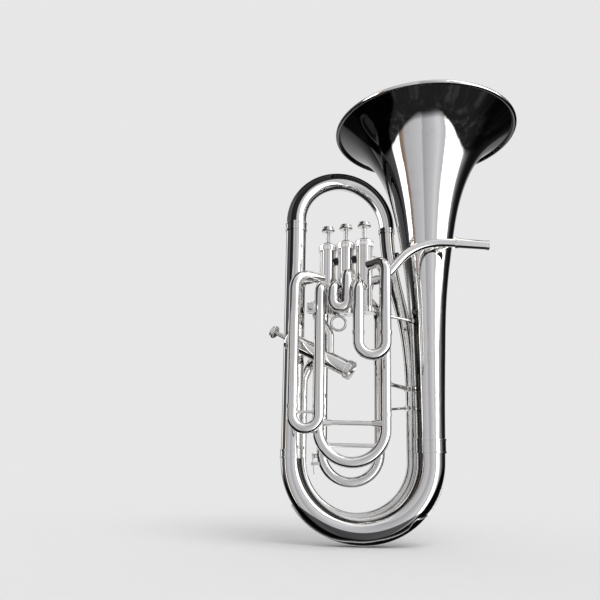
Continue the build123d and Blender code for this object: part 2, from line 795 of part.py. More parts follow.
# ---- lyre holder on the third slide's right-hand outer tube ----
LYRE_MIDDLE = at(-188, THIRD_Y, 351)
LYRE_SCREW_R = 2.4
with BuildPart(Plane(LYRE_MIDDLE)) as lyre_holder:
    Box(16, 10.5, 16)
    fillet(edges().filter_by(Axis.Z), 1.2)
    chamfer(faces().sort_by(Axis.Z)[-1].edges(), 0.6)
    with Locations((-1.2, 1.4, 0)):
        Box(6.0, 3.2, 16, mode=Mode.SUBTRACT)
    with Locations(Location((-1.2, -5.25, 1), (90, 0, 0))):
        Cylinder(LYRE_SCREW_R + RUNNING_GAP, 12, mode=Mode.SUBTRACT)
    fill_tube(SLIDES["third"]["fixed"][1], SLIDE_R, SLIDE_R, mode=Mode.SUBTRACT)
save(lyre_holder.part, "lyre_holder")

screw_plane = Plane(LYRE_MIDDLE + Vector(-1.2, 0.3, 1), x_dir=(1, 0, 0), z_dir=(0, -1, 0))
with BuildPart(screw_plane) as lyre_screw:
    Cylinder(LYRE_SCREW_R, 8, align=STAND)
    with Locations((0, 0, 8)):
        Cylinder(5.0, 5, align=STAND)
    fillet(edges().filter_by(GeomType.CIRCLE).group_by(SortBy.RADIUS)[-1], 0.5)
    with Locations((0, 0, 9)):
        with PolarLocations(5.2, 20):
            Cylinder(0.5, 3, align=STAND, mode=Mode.SUBTRACT)
save(lyre_screw.part, "lyre_screw")

# ---- fixed braces between tubes and bell ----
with BuildPart() as slide_stays:
    rod(at(-75, -45, 203), at(-26, 24, 213), SMALL_ROD_R, 4.5, foot_height=13)
    rod(at(-75, -45, 243), at(-26, 24, 243), CROSS_ROD_R, 5.0, foot_height=13)
    rod(at(-75, -45, 348), at(-20, -8, 348), SMALL_ROD_R, 4.2, foot_height=13)
    fill_tube(SLIDES["main"]["fixed"][1], MAIN_R, MAIN_R, mode=Mode.SUBTRACT)
    fill_tube(descending_path, DESCENDING_R, INNER_TUBE_R, mode=Mode.SUBTRACT)
    cut_bell()

with BuildPart() as branch_stays:
    rod(at(LEFT_X, 0, 407), at(-163.5, -37, 407), SMALL_ROD_R, 5.0, foot_height=18.2)
    rod(at(LEFT_X, 0, 300), VALVE_FOOT[4] + FOURTH_WAY * 86, SMALL_ROD_R, 5.0, foot_height=18.2)
    fill_tube(left_path, BOW_SMALL_R, BRANCH_TOP_R, mode=Mode.SUBTRACT)
    cut_casings(3, 4)

with BuildPart() as bow_stays:
    rod(at(-25.5, 24, 170), at(0, 0, 170), SMALL_ROD_R, 4.2, foot_height=12)
    rod(at(-55, 28, 470), at(0, 0, 470), SMALL_ROD_R, 5.0, foot_height=14)
    rod(at(-198.5, 20.5, 190), at(LEFT_X, 0, 190), SMALL_ROD_R, 4.2, foot_height=10)
    fill_tube(inner_path, INNER_TUBE_R, INNER_TUBE_R, mode=Mode.SUBTRACT)
    fill_tube(descending_path, DESCENDING_R, INNER_TUBE_R, mode=Mode.SUBTRACT)
    fill_tube(left_path, BOW_SMALL_R, BRANCH_TOP_R, mode=Mode.SUBTRACT)
    cut_bell()
save(Compound(children=[slide_stays.part, branch_stays.part, bow_stays.part]), "tube_stays")

# ---- water key on the fourth slide's crook ----
KEY_ANGLE = 186.0
fourth = SLIDES["fourth"]
crook_middle = at(-121, 25, fourth["arc"])
outward = Vector(cos(radians(KEY_ANGLE)), 0, sin(radians(KEY_ANGLE)))
along = Vector(-outward.Z, 0, outward.X)
key_plane = Plane(crook_middle + outward * (46 + SLIDE_R), x_dir=along, z_dir=outward)
NIPPLE_R = 3.2
NIPPLE_TOP = 3.5
CORK_TOP = 6.2
HINGE_X = 12.0
PLATE_X = 24.0
HINGE_Z = 7.6
PIN_R = 1.0
with BuildPart() as fourth_slide_crook:
    add(fourth["crook"])
    with BuildSketch(key_plane.offset(-2)) as nipple:
        Circle(NIPPLE_R)
    extrude(nipple.sketch, amount=NIPPLE_TOP + 2)
    with BuildSketch(key_plane.offset(-SLIDE_R)) as vent:
        Circle(1.8)
    extrude(vent.sketch, amount=SLIDE_R + NIPPLE_TOP, mode=Mode.SUBTRACT)
    fill_tube(fourth["crook_path"], SLIDE_R - SLIDE_WALL, SLIDE_R - SLIDE_WALL, mode=Mode.SUBTRACT)
save(fourth_slide_crook.part, "fourth_slide_crook")

with BuildPart(key_plane) as water_key_saddle:
    for side in (-4.4, 4.4):
        with Locations((HINGE_X, side, -6)):
            Box(5.2, 1.6, HINGE_Z + 6 + 2.6, align=STAND)
    with Locations(Location((HINGE_X, 0, HINGE_Z), (90, 0, 0))):
        Cylinder(PIN_R, 20, mode=Mode.SUBTRACT)
    fill_tube(fourth["crook_path"], SLIDE_R, SLIDE_R, mode=Mode.SUBTRACT)
save(water_key_saddle.part, "water_key_saddle")

with BuildPart(key_plane) as water_key_pin:
    with Locations(Location((HINGE_X, 0, HINGE_Z), (90, 0, 0))):
        Cylinder(PIN_R, 10.4)
save(water_key_pin.part, "water_key_pin")

with BuildPart(key_plane) as water_key_cork:
    with Locations((0, 0, NIPPLE_TOP)):
        Cylinder(3.6, CORK_TOP - NIPPLE_TOP, align=STAND)
save(water_key_cork.part, "water_key_cork")

# The lever: a cup over the cork, a bar, a hinge barrel and a thumb plate.
with BuildPart(key_plane) as water_key_lever:
    with Locations((0, 0, NIPPLE_TOP + 1)):
        Cylinder(4.4, CORK_TOP - NIPPLE_TOP + 0.4, align=STAND)
    with Locations((0, 0, NIPPLE_TOP)):
        Cylinder(3.6, CORK_TOP - NIPPLE_TOP, align=STAND, mode=Mode.SUBTRACT)
    with Locations((HINGE_X / 2, 0, CORK_TOP)):
        Box(HINGE_X, 4.2, 1.4, align=STAND)
    with Locations(((HINGE_X + PLATE_X) / 2, 0, CORK_TOP)):
        Box(PLATE_X - HINGE_X, 4.2, 1.4, align=STAND)
    with Locations((PLATE_X, 0, CORK_TOP)):
        Cylinder(4.6, 1.4, align=STAND)
    with Locations(Location((HINGE_X, 0, HINGE_Z), (90, 0, 0))):
        Cylinder(2.3, 6.8)
        Cylinder(PIN_R + RUNNING_GAP, 8, mode=Mode.SUBTRACT)
save(water_key_lever.part, "water_key_lever")
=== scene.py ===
import json
from math import pi, radians, sin

import bmesh
import bpy
import numpy as np
from mathutils import Matrix, Vector


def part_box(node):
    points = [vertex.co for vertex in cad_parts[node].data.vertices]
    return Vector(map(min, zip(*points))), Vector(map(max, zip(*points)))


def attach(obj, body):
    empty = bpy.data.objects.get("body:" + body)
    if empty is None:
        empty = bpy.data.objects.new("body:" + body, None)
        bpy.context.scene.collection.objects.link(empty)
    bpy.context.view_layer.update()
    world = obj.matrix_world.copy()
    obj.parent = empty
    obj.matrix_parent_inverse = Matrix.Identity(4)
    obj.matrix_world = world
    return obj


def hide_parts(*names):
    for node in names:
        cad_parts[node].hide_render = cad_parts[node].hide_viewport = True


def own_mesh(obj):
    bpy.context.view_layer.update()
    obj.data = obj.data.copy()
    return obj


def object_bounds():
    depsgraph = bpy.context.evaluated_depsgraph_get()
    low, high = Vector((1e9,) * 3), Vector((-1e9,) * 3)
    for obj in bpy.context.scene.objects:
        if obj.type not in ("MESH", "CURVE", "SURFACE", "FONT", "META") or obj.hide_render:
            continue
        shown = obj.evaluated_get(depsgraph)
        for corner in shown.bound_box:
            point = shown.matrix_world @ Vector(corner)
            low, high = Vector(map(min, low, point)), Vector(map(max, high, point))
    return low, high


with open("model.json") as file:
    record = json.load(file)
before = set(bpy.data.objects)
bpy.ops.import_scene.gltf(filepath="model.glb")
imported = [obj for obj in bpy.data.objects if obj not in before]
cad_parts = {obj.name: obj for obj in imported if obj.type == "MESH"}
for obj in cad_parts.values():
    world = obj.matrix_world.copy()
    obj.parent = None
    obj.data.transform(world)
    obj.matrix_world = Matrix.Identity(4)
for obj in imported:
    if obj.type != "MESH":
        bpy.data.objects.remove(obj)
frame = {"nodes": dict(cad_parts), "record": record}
cad_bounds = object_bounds()
RECORD = frame["record"]
NODES = frame["nodes"]


# ---- materials ----
class Shader:
    """A node tree with a few short ways of adding nodes to it."""

    def __init__(self, tree):
        self.tree = tree
        tree.nodes.clear()

    def node(self, kind, **settings):
        made = self.tree.nodes.new(kind)
        for name, value in settings.items():
            setattr(made, name, value)
        return made

    def put(self, socket, value):
        if isinstance(value, bpy.types.NodeSocket):
            self.tree.links.new(value, socket)
        else:
            socket.default_value = value

    def math(self, operation, *values, clamp=False):
        made = self.node("ShaderNodeMath", operation=operation, use_clamp=clamp)
        for socket, value in zip(made.inputs, values):
            self.put(socket, value)
        return made.outputs[0]

    def span(self, value, low, high, to_low=0.0, to_high=1.0, smooth=False):
        made = self.node("ShaderNodeMapRange")
        if smooth:
            made.interpolation_type = "SMOOTHSTEP"
        for name, number in (
            ("Value", value),
            ("From Min", low),
            ("From Max", high),
            ("To Min", to_low),
            ("To Max", to_high),
        ):
            self.put(made.inputs[name], number)
        return made.outputs["Result"]

    def mix(self, share, first, second):
        made = self.node("ShaderNodeMix", data_type="RGBA")
        for socket, value in zip((made.inputs[0], made.inputs[6], made.inputs[7]), (share, first, second)):
            self.put(socket, value)
        return made.outputs[2]

    def noise(self, where, scale, detail=2.0, roughness=0.5, stretch=(1, 1, 1)):
        mapping = self.node("ShaderNodeMapping")
        self.put(mapping.inputs["Vector"], where)
        mapping.inputs["Scale"].default_value = stretch
        made = self.node("ShaderNodeTexNoise")
        self.put(made.inputs["Vector"], mapping.outputs[0])
        made.inputs["Scale"].default_value = scale
        made.inputs["Detail"].default_value = detail
        made.inputs["Roughness"].default_value = roughness
        return made.outputs["Fac"]

    def ramp(self, value, stops, interpolation="LINEAR"):
        made = self.node("ShaderNodeValToRGB")
        elements = made.color_ramp.elements
        made.color_ramp.interpolation = interpolation
        while len(elements) < len(stops):
            elements.new(0.5)
        for element, (place, colour) in zip(elements, stops):
            element.position = place
            element.color = (*colour, 1)
        self.put(made.inputs["Fac"], value)
        return made.outputs["Color"]

    def bump(self, height, strength, distance):
        made = self.node("ShaderNodeBump")
        made.inputs["Strength"].default_value = strength
        made.inputs["Distance"].default_value = distance
        self.put(made.inputs["Height"], height)
        return made.outputs["Normal"]


def surface(name, **inputs):
    """A material with one Principled shader; returns the material, its tree and the shader."""
    material = bpy.data.materials.new(name)
    material.use_nodes = True
    shader = Shader(material.node_tree)
    principled = shader.node("ShaderNodeBsdfPrincipled")
    output = shader.node("ShaderNodeOutputMaterial")
    shader.put(output.inputs["Surface"], principled.outputs[0])
    where = shader.node("ShaderNodeTexCoord").outputs["Object"]
    for key, value in inputs.items():
        principled.inputs[key].default_value = value
    return material, shader, principled, where


def silver_plate(name="silver_plate", shade=None):
    """Mirror silver: faint smears, hairline scratches and a trace of warm tarnish.

    shade, if given, is a mask that paints a dark reflection into the base colour, standing in for the dark
    things that stand close to some of the tubes and so show in them alone.
    """
    material, shader, principled, where = surface(name, Metallic=1.0)
    smears = shader.noise(where, 14, detail=4)
    scratches = shader.noise(where, 260, detail=3, roughness=0.7, stretch=(1, 1, 0.06))
    tarnish = shader.noise(where, 35, detail=5, roughness=0.6)
    tint = shader.span(tarnish, 0.52, 0.8, smooth=True)
    plate = shader.mix(tint, (0.93, 0.922, 0.905, 1), (0.86, 0.82, 0.76, 1))
    if shade:
        # painted reflection: the mask mixes the plate's colour towards near black
        plate = shader.mix(shade(shader), plate, (0.035, 0.034, 0.035, 1))
    shader.put(principled.inputs["Base Color"], plate)
    polish = shader.span(smears, 0.35, 0.75, 0.022, 0.065)
    hairlines = shader.span(scratches, 0.62, 0.8, 0.0, 0.05)
    shader.put(principled.inputs["Roughness"], shader.math("ADD", polish, hairlines))
    shader.put(principled.inputs["Normal"], shader.bump(scratches, 0.05, 0.00002))
    return material


# Azimuths are in degrees from the front, positive to the right. A turn is an azimuth brought to
# the range from 0 to 1, which goes from the back over the left, the front and the right to the back.
# These place the dark reflections that are painted into the silver's colour below.
SOFT_EDGE = 3 / 360
BEHIND = (130, 150)
VALVE_HEIGHT = (0.34, 0.44)
LOW_LEFT_DARK = (-116, -70)
HIGH_LEFT_DARK = (-116, -30)
RIGHT_SHADE = 0.93


def turn_at(azimuth):
    return (azimuth + 180) / 360


def turn_of(shader, direction):
    x, y = direction[0], direction[1]
    return shader.span(shader.math("ARCTAN2", x, shader.math("MULTIPLY", y, -1.0)), -pi, pi)


def mirrored_direction(shader):
    split = shader.node("ShaderNodeSeparateXYZ")
    shader.put(split.inputs[0], shader.node("ShaderNodeTexCoord").outputs["Reflection"])
    return split.outputs


def mirrored_turn(shader):
    return turn_of(shader, mirrored_direction(shader))


def height_of(shader):
    split = shader.node("ShaderNodeSeparateXYZ")
    shader.put(split.inputs[0], shader.node("ShaderNodeNewGeometry").outputs["Position"])
    return split.outputs[2]


def band_share(shader, turn, low, high):
    """1 inside a band of azimuths, 0 outside it, with soft edges."""
    start, end = turn_at(low), turn_at(high)
    rise = shader.span(turn, start - SOFT_EDGE, start + SOFT_EDGE, smooth=True)
    fall = shader.span(turn, end - SOFT_EDGE, end + SOFT_EDGE, 1.0, 0.0, smooth=True)
    return shader.math("MULTIPLY", rise, fall)


def unless_behind(shader, turn, share):
    front = shader.span(turn, turn_at(BEHIND[0]), turn_at(BEHIND[1]), 1.0, 0.0, smooth=True)
    return shader.math("MULTIPLY", share, front)


def painted_dark_on_the_left(shader):
    """Painted reflection: darkens the silver's colour where it mirrors the left, standing in for a dark
    thing there, nearer to the high tubes than to the low ones.
    """
    turn = mirrored_turn(shader)
    start = turn_at(LOW_LEFT_DARK[0])
    low_end, high_end = turn_at(LOW_LEFT_DARK[1]), turn_at(HIGH_LEFT_DARK[1])
    end = shader.span(height_of(shader), *VALVE_HEIGHT, low_end, high_end)
    rise = shader.span(turn, start - SOFT_EDGE, start + SOFT_EDGE, smooth=True)
    past = shader.math("SUBTRACT", turn, end)
    return shader.math("MULTIPLY", rise, shader.span(past, -0.01, 0.01, 1.0, 0.0, smooth=True))


def painted_dark_beside_the_bell(shader):
    """Painted reflection darkens the bell's colour so that high on it the left strip of light is narrow
    and low on it the right one is.
    """
    turn = mirrored_turn(shader)
    height = height_of(shader)
    high_up = shader.span(height, *VALVE_HEIGHT, smooth=True)
    low_down = shader.math("SUBTRACT", 1.0, high_up)
    high_left = shader.math("MULTIPLY", band_share(shader, turn, -132, -85), high_up)
    low_left = shader.math("MULTIPLY", band_share(shader, turn, *LOW_LEFT_DARK), low_down)
    left = shader.math("ADD", high_left, low_left)
    start = shader.span(height, 0.30, 0.52, turn_at(46), turn_at(84))
    past = shader.math("SUBTRACT", turn, start)
    right = shader.span(past, 0.0, 26 / 360, 0.0, RIGHT_SHADE, smooth=True)
    sides = shader.math("MAXIMUM", left, unless_behind(shader, turn, right))
    front = band_share(shader, turn, -128, 128)
    lip = shader.math("SUBTRACT", shader.span(height, 0.56, 0.62, 0.0, 0.85), front, clamp=True)
    return shader.math("MAXIMUM", sides, lip)


def painted_dark_under_the_bow(shader):
    """Painted reflection: low on the bow, what it mirrors below eye level is painted dark, standing in for
    dark pile.
    """
    turn = mirrored_turn(shader)
    level = shader.span(height_of(shader), 0.012, 0.08, 0.0, -0.8, smooth=True)
    below = shader.math("SUBTRACT", level, mirrored_direction(shader)[2])
    under = shader.span(below, -0.06, 0.06, 0.0, 0.9, smooth=True)
    right = shader.span(turn, turn_at(44), turn_at(74), 0.0, RIGHT_SHADE, smooth=True)
    sides = shader.math("MAXIMUM", painted_dark_on_the_left(shader), unless_behind(shader, turn, right))
    return shader.math("MAXIMUM", under, sides)


def painted_dark_outside_the_arch(shader):
    """Painted reflection: the top bow's colour is darkened where it mirrors the outside of its arch."""
    low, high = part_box("top_bow")
    centre = ((low.x + high.x) / 2, (low.y + high.y) / 2, low.z)
    outward = shader.node("ShaderNodeVectorMath", operation="SUBTRACT")
    shader.put(outward.inputs[0], shader.node("ShaderNodeNewGeometry").outputs["Position"])
    outward.inputs[1].default_value = centre
    unit = shader.node("ShaderNodeVectorMath", operation="NORMALIZE")
    shader.put(unit.inputs[0], outward.outputs[0])
    facing = shader.node("ShaderNodeVectorMath", operation="DOT_PRODUCT")
    shader.put(facing.inputs[0], unit.outputs[0])
    shader.put(facing.inputs[1], shader.node("ShaderNodeTexCoord").outputs["Reflection"])
    return shader.span(facing.outputs["Value"], 0.3, 0.5, smooth=True)


def painted_dark_between_the_valves(shader):
    """Painted reflection: the casings' colour is darkened where they mirror each other's shaded sides."""
    turn = mirrored_turn(shader)
    left = band_share(shader, turn, -104, -74)
    right = band_share(shader, turn, 52, 78)
    return shader.math("MULTIPLY", shader.math("ADD", left, right), 0.85)


def nickel_silver():
    """Drawn tube, lapped along its length: warmer and less polished than the plate."""
    material, shader, principled, where = surface("nickel_silver", Metallic=1.0)
    drawn = shader.noise(where, 900, detail=3, stretch=(1, 1, 0.02))
    stains = shader.noise(where, 60, detail=4)
    shader.put(
        principled.inputs["Base Color"],
        shader.mix(shader.span(stains, 0.4, 0.7), (0.80, 0.78, 0.73, 1), (0.70, 0.67, 0.60, 1)),
    )
    shader.put(principled.inputs["Roughness"], shader.span(drawn, 0.3, 0.7, 0.12, 0.24))
    shader.put(principled.inputs["Normal"], shader.bump(drawn, 0.15, 0.00003))
    return material


def piston_metal():
    """Satin nickel alloy with fine rings from lapping."""
    material, shader, principled, where = surface("piston_metal", Metallic=1.0)
    lapping = shader.noise(where, 1200, detail=2, stretch=(0.03, 0.03, 1))
    shader.put(
        principled.inputs["Base Color"],
        shader.mix(shader.span(lapping, 0.35, 0.65), (0.60, 0.60, 0.58, 1), (0.68, 0.67, 0.65, 1)),
    )
    shader.put(principled.inputs["Roughness"], shader.span(lapping, 0.3, 0.7, 0.2, 0.32))
    shader.put(principled.inputs["Normal"], shader.bump(lapping, 0.2, 0.00002))
    return material


def wire(name, light, dark):
    """Drawn wire, a little stained."""
    material, shader, principled, where = surface(name, Metallic=1.0)
    stains = shader.noise(where, 220, detail=4)
    shader.put(principled.inputs["Base Color"], shader.mix(shader.span(stains, 0.35, 0.7), light, dark))
    shader.put(principled.inputs["Roughness"], shader.span(stains, 0.3, 0.7, 0.18, 0.36))
    return material


def felt():
    """Pressed wool: mottled fibres with a soft sheen."""
    material, shader, principled, where = surface("felt", Roughness=0.95)
    principled.inputs["Sheen Weight"].default_value = 0.5
    fibres = shader.noise(where, 1800, detail=6, roughness=0.8)
    shader.put(
        principled.inputs["Base Color"],
        shader.mix(shader.span(fibres, 0.35, 0.7), (0.02, 0.02, 0.022, 1), (0.09, 0.09, 0.095, 1)),
    )
    shader.put(principled.inputs["Normal"], shader.bump(fibres, 0.9, 0.0003))
    return material


def cork():
    """Natural cork: tan cells with dark pits."""
    material, shader, principled, where = surface("cork", Roughness=0.85)
    cells = shader.noise(where, 700, detail=5, roughness=0.7)
    shader.put(
        principled.inputs["Base Color"],
        shader.ramp(
            cells,
            [(0.3, (0.10, 0.05, 0.02)), (0.42, (0.42, 0.26, 0.13)), (0.7, (0.62, 0.43, 0.25))],
        ),
    )
    shader.put(principled.inputs["Normal"], shader.bump(cells, 0.8, 0.0002))
    return material


MATERIALS = {
    "silver_plate": silver_plate(),
    "nickel_silver": nickel_silver(),
    "piston_metal": piston_metal(),
    "spring_steel": wire("spring_steel", (0.50, 0.50, 0.51, 1), (0.36, 0.36, 0.38, 1)),
    "brass": wire("brass", (0.80, 0.62, 0.28, 1), (0.62, 0.44, 0.18, 1)),
    "felt": felt(),
    "cork": cork(),
}
SLOT_OF = {entry["node"]: entry["material_slot"] for entry in RECORD["subparts"]}
# Copies of the silver with dark reflections painted into their colour, one for each group of nodes.
PAINTED_SHADE_LEFT = silver_plate("silver_plate_painted_shade_left", painted_dark_on_the_left)
PAINTED_SHADE_ARCH = silver_plate("silver_plate_painted_shade_arch", painted_dark_outside_the_arch)
PAINTED_SHADE_BELL = silver_plate("silver_plate_painted_shade_bell", painted_dark_beside_the_bell)
PAINTED_SHADE_BOW = silver_plate("silver_plate_painted_shade_bow", painted_dark_under_the_bow)
PAINTED_SHADE_CASING = silver_plate("silver_plate_painted_shade_casing", painted_dark_between_the_valves)
PAINTED_SHADE_FINISHES = {
    **{f"valve_casing_{number}": PAINTED_SHADE_CASING for number in (1, 2, 3, 4)},
    "top_bow": PAINTED_SHADE_ARCH,
    "bell": PAINTED_SHADE_BELL,
    "bell_ferrule": PAINTED_SHADE_BELL,
    "bottom_bow": PAINTED_SHADE_BOW,
    "bow_guard": PAINTED_SHADE_BOW,
}
OPEN_NODES = {
    "mouthpiece_receiver",
    "leadpipe",
    "lyre_holder",
    "valve_top_caps",
    "valve_bottom_caps",
}


def finish_of(name):
    """The finish of a CAD node: most of the silver has a painted dark reflection on its left, some has its
    own painted dark reflection or none.
    """
    if name in PAINTED_SHADE_FINISHES:
        return PAINTED_SHADE_FINISHES[name]
    if SLOT_OF[name] == "silver_plate" and name not in OPEN_NODES:
        return PAINTED_SHADE_LEFT
    return MATERIALS[SLOT_OF[name]]


for name, node in NODES.items():
    node.data.materials.clear()
    node.data.materials.append(finish_of(name))


def new_piece(name, mesh, *materials):
    """An object made of a bmesh, which is used up."""
    data = bpy.data.meshes.new(name)
    mesh.to_mesh(data)
    mesh.free()
    for material in materials:
        data.materials.append(material)
    piece = bpy.data.objects.new(name, data)
    bpy.context.collection.objects.link(piece)
    return piece


# ---- bow guard ----
# The plate that protects the bottom bow: where it is along the arc and its half width round the
# tube, both in degrees, from its long point on the bell's side to the short one.
GUARD_OUTLINE = [
    (-18, 0.5),
    (-34, 12),
    (-39, 24),
    (-46, 59),
    (-50, 62),
    (-55, 50),
    (-61, 49),
    (-78, 56),
    (-98, 51),
    (-111, 31),
    (-134, 10),
    (-147, 0.5),
]
GUARD_RISE = 0.0009
GUARD_GAP = 0.0001
GUARD_BEAD = 0.0011
GUARD_BEAD_WIDTH = 0.0014
BEAD_REACH = 1.4 * GUARD_BEAD_WIDTH
GUARD_ROWS = 321
GUARD_COLUMNS = 41
OUTLINE_BLUR = 13
TAPER_REACH = 1.02


class BowShape:
    """The centre line and the radius of the bottom bow, read off the nodes round it."""

    def __init__(self):
        bow_low, bow_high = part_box("bottom_bow")
        bell_low, bell_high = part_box("bell")
        left_low, left_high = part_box("left_branch")
        bell_x = (bell_low.x + bell_high.x) / 2
        left_x = (left_low.x + left_high.x) / 2
        self.arc_r = (bell_x - left_x) / 2
        self.big_r = bow_high.y
        self.small_r = (left_high.x - left_low.x) / 2
        self.straight = bow_high.z - (bow_low.z + self.arc_r + (self.big_r + self.small_r) / 2)
        self.length = (self.straight + pi * self.arc_r) * TAPER_REACH
        self.centre_x = (bell_x + left_x) / 2
        self.centre_z = bow_low.z + self.arc_r + self.tube_radius(pi / 2)

    def tube_radius(self, turned):
        share = (self.straight + self.arc_r * turned) / self.length
        return self.big_r + (self.small_r - self.big_r) * share

    def point(self, angle, round_tube, reach):
        """angle goes down along the arc from the bell's side, round_tube from the outside to the front."""
        out = self.arc_r + reach * np.cos(round_tube)
        return (
            self.centre_x + out * np.cos(angle),
            -reach * np.sin(round_tube),
            self.centre_z + out * np.sin(angle),
        )


def smooth_outline():
    """Angles along the arc and half widths round the tube, in radians, with the corners rounded."""
    places, widths = np.array(GUARD_OUTLINE).T
    angles = np.linspace(places[0], places[-1], GUARD_ROWS)
    half = np.interp(-angles, -places, widths)
    kernel = np.hanning(OUTLINE_BLUR)
    half = np.convolve(np.pad(half, OUTLINE_BLUR // 2, mode="edge"), kernel / kernel.sum(), mode="valid")
    return np.radians(angles), np.radians(half)


def bow_guard():
    """A shaped plate on the outside of the bow's arc, with a rolled bead round its edge."""
    bow = BowShape()
    across = np.sin(np.linspace(-pi / 2, pi / 2, GUARD_COLUMNS))
    mesh = bmesh.new()
    outer = []
    inner = []
    on_bead = []
    for angle, width in zip(*smooth_outline()):
        radius = bow.tube_radius(-angle)
        from_edge = (1 - abs(across)) * width * radius
        rise = GUARD_RISE + GUARD_BEAD * np.exp(-((from_edge / GUARD_BEAD_WIDTH) ** 2))
        outer.append(
            [mesh.verts.new(bow.point(angle, a * width, radius + r)) for a, r in zip(across, rise)]
        )
        inner.append([mesh.verts.new(bow.point(angle, a * width, radius + GUARD_GAP)) for a in across])
        on_bead.append(from_edge < BEAD_REACH)
    last_row, last = GUARD_ROWS - 1, GUARD_COLUMNS - 1
    for i in range(last_row):
        for j in range(last):
            face = mesh.faces.new((outer[i][j], outer[i][j + 1], outer[i + 1][j + 1], outer[i + 1][j]))
            face.material_index = int(on_bead[i][j] or on_bead[i][j + 1])
            mesh.faces.new((inner[i][j], inner[i + 1][j], inner[i + 1][j + 1], inner[i][j + 1]))
        for j in (0, last):
            mesh.faces.new((outer[i][j], outer[i + 1][j], inner[i + 1][j], inner[i][j]))
    for i in (0, last_row):
        for j in range(last):
            mesh.faces.new((outer[i][j], outer[i][j + 1], inner[i][j + 1], inner[i][j]))
    bmesh.ops.recalc_face_normals(mesh, faces=mesh.faces)
    for face in mesh.faces:
        face.smooth = True
    # The plate takes the silver with painted dark reflection; its bead takes the plain silver.
    guard = new_piece("bow_guard_plate", mesh, PAINTED_SHADE_BOW, MATERIALS["silver_plate"])
    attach(guard, "root")
    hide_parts("bow_guard")


bow_guard()


# ---- valve springs ----
SPRING_TURNS = 7
STEPS_PER_TURN = 28
WIRE_SIDES = 10
WIRE_R = 0.0005


def valve_spring(joint, node):
    """A coil between the bottom cap and the piston."""
    low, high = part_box("valve_spring_1")
    length = high.z - low.z
    coil_r = (high.x - low.x) / 2 - WIRE_R
    up = -Vector(joint["axis"]).normalized()
    node_low, node_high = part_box(node)
    middle = (node_low + node_high) / 2
    seat = middle - up * length / 2
    turn = up.to_track_quat("Z", "Y").to_matrix()
    mesh = bmesh.new()
    rings = []
    steps = SPRING_TURNS * STEPS_PER_TURN
    for step in range(steps + 1):
        angle = 2 * pi * step / STEPS_PER_TURN
        out = Vector((np.cos(angle), np.sin(angle), 0))
        centre = out * coil_r + Vector((0, 0, WIRE_R + (length - 2 * WIRE_R) * step / steps))
        ring = []
        for side in range(WIRE_SIDES):
            around = 2 * pi * side / WIRE_SIDES
            point = centre + (out * np.cos(around) + Vector((0, 0, np.sin(around)))) * WIRE_R
            ring.append(mesh.verts.new(seat + turn @ point))
        rings.append(ring)
    for here, there in zip(rings, rings[1:]):
        for side in range(WIRE_SIDES):
            after = (side + 1) % WIRE_SIDES
            mesh.faces.new((here[side], here[after], there[after], there[side])).smooth = True
    mesh.faces.new(list(reversed(rings[0])))
    mesh.faces.new(rings[-1])
    bmesh.ops.recalc_face_normals(mesh, faces=mesh.faces)
    spring = new_piece(node + "_coil", mesh, MATERIALS["spring_steel"])
    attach(spring, "root")
    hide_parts(node)
    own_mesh(spring)


for joint in RECORD["behaviour"]["joints"]:
    for deforming in joint.get("deforming_nodes", []):
        valve_spring(joint, deforming["node"])


# ---- studio ----
FLOOR_COLOUR = 0.80
FLOOR_REACH = 40.0
FLOOR_GAP = 0.0002
SKY_LIGHT = 0.72
SUN_STRENGTH = 1.0
SUN_HEIGHT = radians(62)
SUN_TURN = radians(35)
SUN_SOFTNESS = radians(35)
# What the sunlit floor sends back, so that the backdrop has its brightness.
FLOOR_RADIANCE = FLOOR_COLOUR * (SKY_LIGHT + SUN_STRENGTH * sin(SUN_HEIGHT) / pi)

# What polished metal mirrors: (degrees round from the camera, colour). Positive is to the right.
DARK = (0.03, 0.03, 0.033)
GREY = (0.42, 0.42, 0.44)
WHITE = (2.2, 2.2, 2.2)
BANDS = [
    (-180, (0.66, 0.66, 0.67)),
    (-158, (0.52, 0.52, 0.53)),
    (-145, (0.22, 0.22, 0.23)),
    (-133, (0.05, 0.05, 0.055)),
    (-129, (1.1, 1.1, 1.1)),
    (-100, (1.3, 1.3, 1.3)),
    (-84, WHITE),
    (-68, WHITE),
    (-65, (0.20, 0.13, 0.09)),
    (-59, (0.26, 0.20, 0.16)),
    (-54, GREY),
    (-18, (0.56, 0.56, 0.58)),
    (-14, (0.36, 0.36, 0.38)),
    (8, (0.52, 0.52, 0.55)),
    (20, (0.66, 0.66, 0.69)),
    (34, (0.50, 0.50, 0.52)),
    (39, WHITE),
    (80, WHITE),
    (88, (0.34, 0.34, 0.35)),
    (104, (0.09, 0.09, 0.09)),
    (118, DARK),
    (139, DARK),
    (142, (0.30, 0.30, 0.30)),
    (150, (0.30, 0.30, 0.30)),
    (162, (0.80, 0.80, 0.81)),
    (180, (0.66, 0.66, 0.67)),
]
# From which elevation up the bands are seen, in degrees; below it lies dark pile.
LIT_ABOVE = [
    (-180, -50),
    (-155, -40),
    (-130, -6),
    (-110, -6),
    (-75, -28),
    (-52, -54),
    (-28, -63),
    (0, -61),
    (26, -62),
    (42, -54),
    (60, -24),
    (84, -8),
    (120, 2),
    (140, -6),
    (158, -40),
    (180, -50),
]


